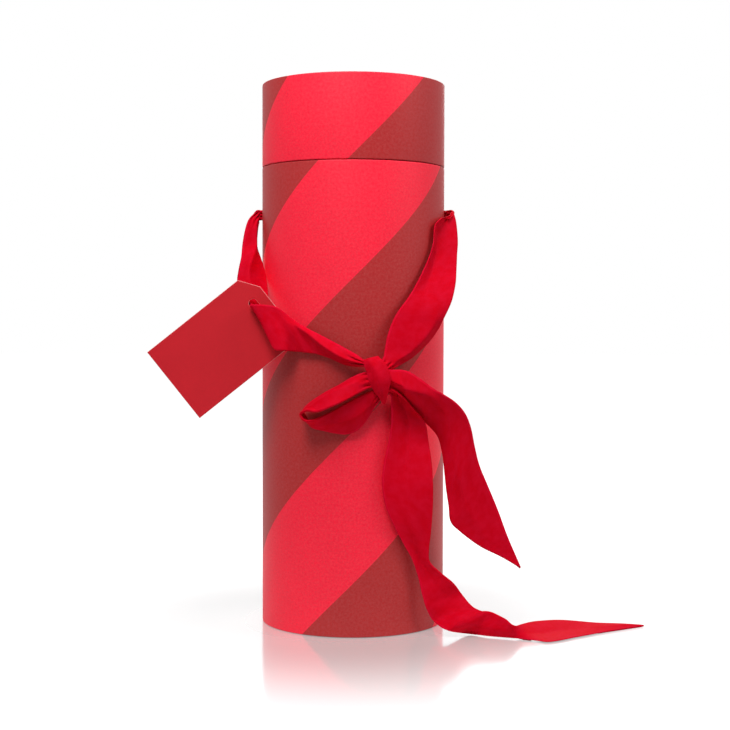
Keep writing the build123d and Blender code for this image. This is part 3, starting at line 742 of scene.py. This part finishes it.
def cloth_grid(stations, seed, tuck, turned_until):
    """The ribbon's middle surface, as rows of points across it, none lower than a cloth that
    lies on the floor. Up to one station the width to spare is turned under on the other side of
    the face."""
    rows = smoothed(stations)
    edges = [(place(*row[0:3]), place(*row[3:6])) for row in rows]
    ways = directions([(a + b) / 2 for a, b in edges])
    grid = []
    for i, ((edge_a, edge_b), way, row) in enumerate(zip(edges, ways, rows)):
        face = way.cross(edge_b - edge_a).normalized()
        side = -tuck if i < turned_until * CUTS_PER_STATION else tuck
        line = cloth_line(edge_a, edge_b, face, row, side, seed)
        for point in line:
            point.z = max(point.z, LYING_HEIGHT)
        grid.append(line)
    return grid


def cloth_piece(name, grid, finish):
    """A thin closed piece of cloth on a grid of points, a little thicker at its selvedges."""
    rows, columns = len(grid), len(grid[0])

    def point(i, j):
        return grid[min(max(i, 0), rows - 1)][min(max(j, 0), columns - 1)]

    shape = bmesh.new()
    layer = shape.loops.layers.uv.new("cloth")
    sides = ([], [])
    for i in range(rows):
        lines = ([], [])
        for j in range(columns):
            along = point(i + 1, j) - point(i - 1, j)
            across = point(i, j + 1) - point(i, j - 1)
            face = along.cross(across).normalized()
            at_edge = j in (0, columns - 1)
            half = (SELVEDGE_THICKNESS if at_edge else CLOTH_THICKNESS) / 2
            lines[0].append(shape.verts.new(grid[i][j] + face * half))
            lines[1].append(shape.verts.new(grid[i][j] - face * half))
        sides[0].append(lines[0])
        sides[1].append(lines[1])
    middle = FRONT_COLUMNS // 2
    run = [0.0]
    for near, far in zip(grid, grid[1:]):
        run.append(run[-1] + (far[middle] - near[middle]).length)
    reach = []
    for line in grid:
        steps = [0.0]
        for near, far in zip(line, line[1:]):
            steps.append(steps[-1] + (far - near).length)
        reach.append([RIBBON_WIDTH * step / steps[-1] for step in steps])

    def add_face(corners):
        face = shape.faces.new([sides[s][i][j] for s, i, j in corners])
        for loop, (_, i, j) in zip(face.loops, corners):
            loop[layer].uv = (reach[i][j] / UV_UNIT, run[i] / UV_UNIT)
        face.smooth = True

    for i in range(rows - 1):
        for j in range(columns - 1):
            add_face([(0, i, j), (0, i + 1, j), (0, i + 1, j + 1), (0, i, j + 1)])
            add_face([(1, i, j), (1, i, j + 1), (1, i + 1, j + 1), (1, i + 1, j)])
        for j in (0, columns - 1):
            add_face([(0, i, j), (1, i, j), (1, i + 1, j), (0, i + 1, j)])
    for j in range(columns - 1):
        for i in (0, rows - 1):
            add_face([(0, i, j), (0, i, j + 1), (1, i, j + 1), (1, i, j)])
    bmesh.ops.recalc_face_normals(shape, faces=shape.faces)
    return shape_object(name, shape, finish), run[-1]


def ribbon_stretch(node, stations, seed, tuck=0, turned_until=0):
    """One stretch of the ribbon in the place of its CAD node."""
    grid = cloth_grid(stations, seed, tuck, turned_until)
    piece, length = cloth_piece(node + "_cloth", grid, RIBBON)
    finish_piece(piece, "box", node)


def finish_piece(piece, body, node):
    """Says which body the piece rides on and the CAD node that it replaces."""
    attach(piece, body)
    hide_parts(node)


def wraps():
    """The printed papers round the body and the lid."""
    body = wrapped_paper(
        "body_paper",
        [
            (TURNED_IN, WRAP_LOW, 0),
            (BOX_RADIUS, WRAP_LOW, RIM_ROUNDING),
            (BOX_RADIUS, BODY_TOP, RIM_ROUNDING),
            (HEM_INNER, BODY_TOP, RIM_ROUNDING),
            (HEM_INNER, BODY_TOP - HEM_DEPTH, 0),
            (HEM_OUTER, BODY_TOP - HEM_DEPTH, 0),
            (HEM_OUTER, BODY_TOP - 2 * WRAP_THICKNESS, 0),
            (BOX_RADIUS - WRAP_THICKNESS, BODY_TOP - 2 * WRAP_THICKNESS, 0),
            (BOX_RADIUS - WRAP_THICKNESS, WRAP_LOW + 2 * WRAP_THICKNESS, 0),
            (TURNED_IN, WRAP_LOW + WRAP_THICKNESS, 0),
        ],
        (BOX_RADIUS, WRAP_LOW + RIM_ROUNDING),
        BODY_PRINT,
    )
    cut_holes(body)
    sharpen(body)
    finish_piece(body, "box", "body_wrap")
    lid = wrapped_paper(
        "lid_paper",
        [
            (HEM_OUTER, LID_LOW + HEM_DEPTH, 0),
            (HEM_INNER, LID_LOW + HEM_DEPTH, 0),
            (HEM_INNER, LID_LOW, RIM_ROUNDING),
            (BOX_RADIUS, LID_LOW, RIM_ROUNDING),
            (BOX_RADIUS, LID_WRAP_TOP, RIM_ROUNDING),
            (TURNED_IN, LID_WRAP_TOP, 0),
            (TURNED_IN, LID_WRAP_TOP - WRAP_THICKNESS, 0),
            (BOX_RADIUS - WRAP_THICKNESS, LID_WRAP_TOP - 2 * WRAP_THICKNESS, 0),
            (BOX_RADIUS - WRAP_THICKNESS, LID_LOW + 2 * WRAP_THICKNESS, 0),
            (HEM_OUTER, LID_LOW + 2 * WRAP_THICKNESS, 0),
        ],
        (BOX_RADIUS, LID_LOW + RIM_ROUNDING),
        LID_PRINT,
    )
    sharpen(lid)
    finish_piece(lid, "lid", "lid_wrap")


def knot():
    """The wrap of ribbon that holds the bow, gathered into soft ridges."""
    rows = smoothed(KNOT_SHARES)
    middles = [place(*row[0:3]) for row in rows]
    shape = bmesh.new()
    layer = shape.loops.layers.uv.new("cloth")
    rings = []
    for middle, way, row in zip(middles, directions(middles), rows):
        outward = Vector((middle.x, middle.y, 0)).normalized()
        across = way.cross(outward).normalized()
        depth = across.cross(way).normalized()
        ring = []
        for column in range(KNOT_COLUMNS):
            turn = 2 * math.pi * column / KNOT_COLUMNS
            ridge = 1 + KNOT_RIDGE_DEPTH * math.cos(KNOT_RIDGES * turn) - KNOT_SHRINK
            wide = row[3] * RIBBON_WIDTH * ridge * math.cos(turn)
            deep = row[4] * RIBBON_WIDTH * ridge * math.sin(turn)
            ring.append(shape.verts.new(middle + across * wide + depth * deep))
        rings.append(ring)
    for i, (near, far) in enumerate(zip(rings, rings[1:])):
        for j in range(KNOT_COLUMNS):
            k = (j + 1) % KNOT_COLUMNS
            face = shape.faces.new([near[j], near[k], far[k], far[j]])
            face.smooth = True
            for loop, (a, b) in zip(face.loops, ((i, j), (i, j + 1), (i + 1, j + 1), (i + 1, j))):
                across, along = RIBBON_WIDTH * b / KNOT_COLUMNS, a * KNOT_ROW_LENGTH
                loop[layer].uv = (across / UV_UNIT, along / UV_UNIT)
    for ring in (rings[0], rings[-1]):
        shape.faces.new(ring)
    bmesh.ops.recalc_face_normals(shape, faces=shape.faces)
    piece = shape_object("knot_cloth", shape, RIBBON)
    finish_piece(piece, "box", "ribbon_knot")


def tag():
    """The card tag, bare, with two clipped corners and the slot that the ribbon goes through."""
    end, low, side = TAG_SLOT_SETBACK, TAG_SLOT_SETBACK - TAG_LENGTH, TAG_WIDTH / 2
    outline = [
        (low, -side),
        (end - TAG_CLIP[0], -side),
        (end, TAG_CLIP[1] - side),
        (end, side - TAG_CLIP[1]),
        (end - TAG_CLIP[0], side),
        (low, side),
    ]
    curve = bpy.data.curves.new("tag_outline", "CURVE")
    curve.dimensions = "2D"
    curve.fill_mode = "BOTH"
    curve.extrude = TAG_THICKNESS / 2 - TAG_CHAMFER
    curve.bevel_depth = TAG_CHAMFER
    curve.bevel_resolution = 0
    curve.offset = -TAG_CHAMFER
    slot_line = []
    half_width, half_length = TAG_SLOT[0] / 2, TAG_SLOT[1] / 2 - TAG_SLOT[0] / 2
    for centre, start in ((half_length, 0.0), (-half_length, math.pi)):
        for step in range(TAG_SLOT_STEPS + 1):
            turn = start + math.pi * step / TAG_SLOT_STEPS
            slot_line.append((half_width * math.cos(turn), centre + half_width * math.sin(turn)))
    for line in (outline, slot_line):
        spline = curve.splines.new("POLY")
        spline.points.add(len(line) - 1)
        for point, (x, y) in zip(spline.points, line):
            point.co = (x, y, 0, 1)
        spline.use_cyclic_u = True
    flat = new_object("tag_flat", curve)
    depsgraph = bpy.context.evaluated_depsgraph_get()
    mesh = bpy.data.meshes.new_from_object(flat.evaluated_get(depsgraph))
    bpy.data.objects.remove(flat)
    piece = new_object("tag_card_face", mesh, CARD, CARD_CORE)
    along = Vector((math.cos(TAG_TILT), 0, math.sin(TAG_TILT)))
    up = Vector((-math.sin(TAG_TILT), 0, math.cos(TAG_TILT)))
    turned = Matrix((along, up, along.cross(up))).transposed().to_4x4()
    mesh.transform(Matrix.Translation(place(*TAG_PLACE)) @ turned)
    facing = along.cross(up)
    for face in mesh.polygons:
        face.material_index = 0 if abs(face.normal.dot(facing)) > TAG_FACE_TURN else 1
        face.use_smooth = False
    finish_piece(piece, "tag", "tag_card")


def ribbons():
    """Every stretch of the ribbon, and its knot."""
    half = INNER_RUN_HALF_SHARES
    other = [(-360 - r[0], r[1], r[2], -360 - r[3], *r[4:]) for r in reversed(half[:-1])]
    ribbon_stretch("ribbon_inner_run", half + other, 1)
    ribbon_stretch("ribbon_left_strand", LEFT_STRAND_SHARES, 2, 1, 11)
    ribbon_stretch("ribbon_right_strand", RIGHT_STRAND_SHARES, 3, -1)
    ribbon_stretch("ribbon_loop", LOOP_SHARES, 4, -1)
    ribbon_stretch("ribbon_short_tail", SHORT_TAIL_SHARES, 5, 1)
    ribbon_stretch("ribbon_long_tail", LONG_TAIL_SHARES, 6, -1)
    knot()


# Surroundings


def seen_ray(tree):
    """1 for rays from the camera, also by way of a gloss or through glass, and 0 for others."""
    path = tree.nodes.new("ShaderNodeLightPath")
    seen = maths(tree, "MAXIMUM", path.outputs["Is Camera Ray"], path.outputs["Is Glossy Ray"])
    return maths(tree, "MAXIMUM", seen, path.outputs["Is Transmission Ray"])


def white_floor():
    """A white floor with a faint gloss near the box, where it also keeps the box's shadow."""
    shape = bmesh.new()
    bmesh.ops.create_grid(shape, x_segments=1, y_segments=1, size=FLOOR_HALF_SIZE)
    grey = (FLOOR_GREY, FLOOR_GREY, FLOOR_GREY, 1)
    made, tree, shader = principled(
        "floor_white", Base_Color=grey, Roughness=0.6, Specular_IOR_Level=0.0
    )
    where = tree.nodes.new("ShaderNodeTexCoord").outputs["Object"]
    length = tree.nodes.new("ShaderNodeVectorMath")
    length.operation = "LENGTH"
    tree.links.new(where, length.inputs[0])
    away, soft = length.outputs["Value"], {"interpolation_type": "SMOOTHSTEP"}
    lit = spread(tree, away, *FLOOR_GLOW, *FLOOR_GLOW_REACH, **soft)
    glow = maths(tree, "MULTIPLY", seen_ray(tree), lit)
    glow = add(tree, "ShaderNodeEmission", WHITE, glow)
    white = add(tree, "ShaderNodeAddShader", shader.outputs[0], glow)
    mirror = add(tree, "ShaderNodeBsdfAnisotropic", WHITE, FLOOR_GLOSS_ROUGHNESS)
    fade = spread(tree, away, FLOOR_GLOSS, 0.0, *FLOOR_GLOSS_FADE, **soft)
    both = add(tree, "ShaderNodeMixShader", fade, white, mirror)
    tree.links.new(both, tree.nodes["Material Output"].inputs["Surface"])
    shape_object("floor", shape, made)


def white_world():
    """Surroundings that are seen white, and give a little light of their own."""
    world = bpy.data.worlds.new("studio")
    bpy.context.scene.world = world
    world.use_nodes = True
    tree = world.node_tree
    back = tree.nodes["Background"]
    back.inputs["Color"].default_value = WHITE
    tree.links.new(spread(tree, seen_ray(tree), WORLD_LIGHT, 1.0), back.inputs["Strength"])


def lamps():
    """The soft lights."""
    for name, (spot, size, power) in LAMPS.items():
        lamp = bpy.data.lights.new(name, "AREA")
        lamp.size = size
        lamp.energy = power
        lamp.spread = LIGHT_SPREAD
        holder = bpy.data.objects.new(name, lamp)
        bpy.context.scene.collection.objects.link(holder)
        holder.location = spot
        aim = Vector(LIGHT_AIM) - Vector(spot)
        holder.rotation_euler = aim.to_track_quat("-Z", "Y").to_euler()


def camera():
    """The photograph's camera."""
    made = bpy.data.cameras.new("camera")
    made.sensor_width = CAMERA_SENSOR
    made.lens = CAMERA_LENS
    holder = bpy.data.objects.new("camera", made)
    bpy.context.scene.collection.objects.link(holder)
    tilt = Matrix.Rotation(math.pi / 2 - CAMERA_PITCH, 4, "X")
    roll = Matrix.Rotation(CAMERA_ROLL, 4, "Z")
    holder.matrix_world = Matrix.Translation(CAMERA_PLACE) @ tilt @ roll
    bpy.context.scene.camera = holder


bpy.context.scene.view_settings.view_transform = "Standard"
dress_nodes()
wraps()
ribbons()
tag()
white_floor()
white_world()
lamps()
camera()

bpy.context.view_layer.update()
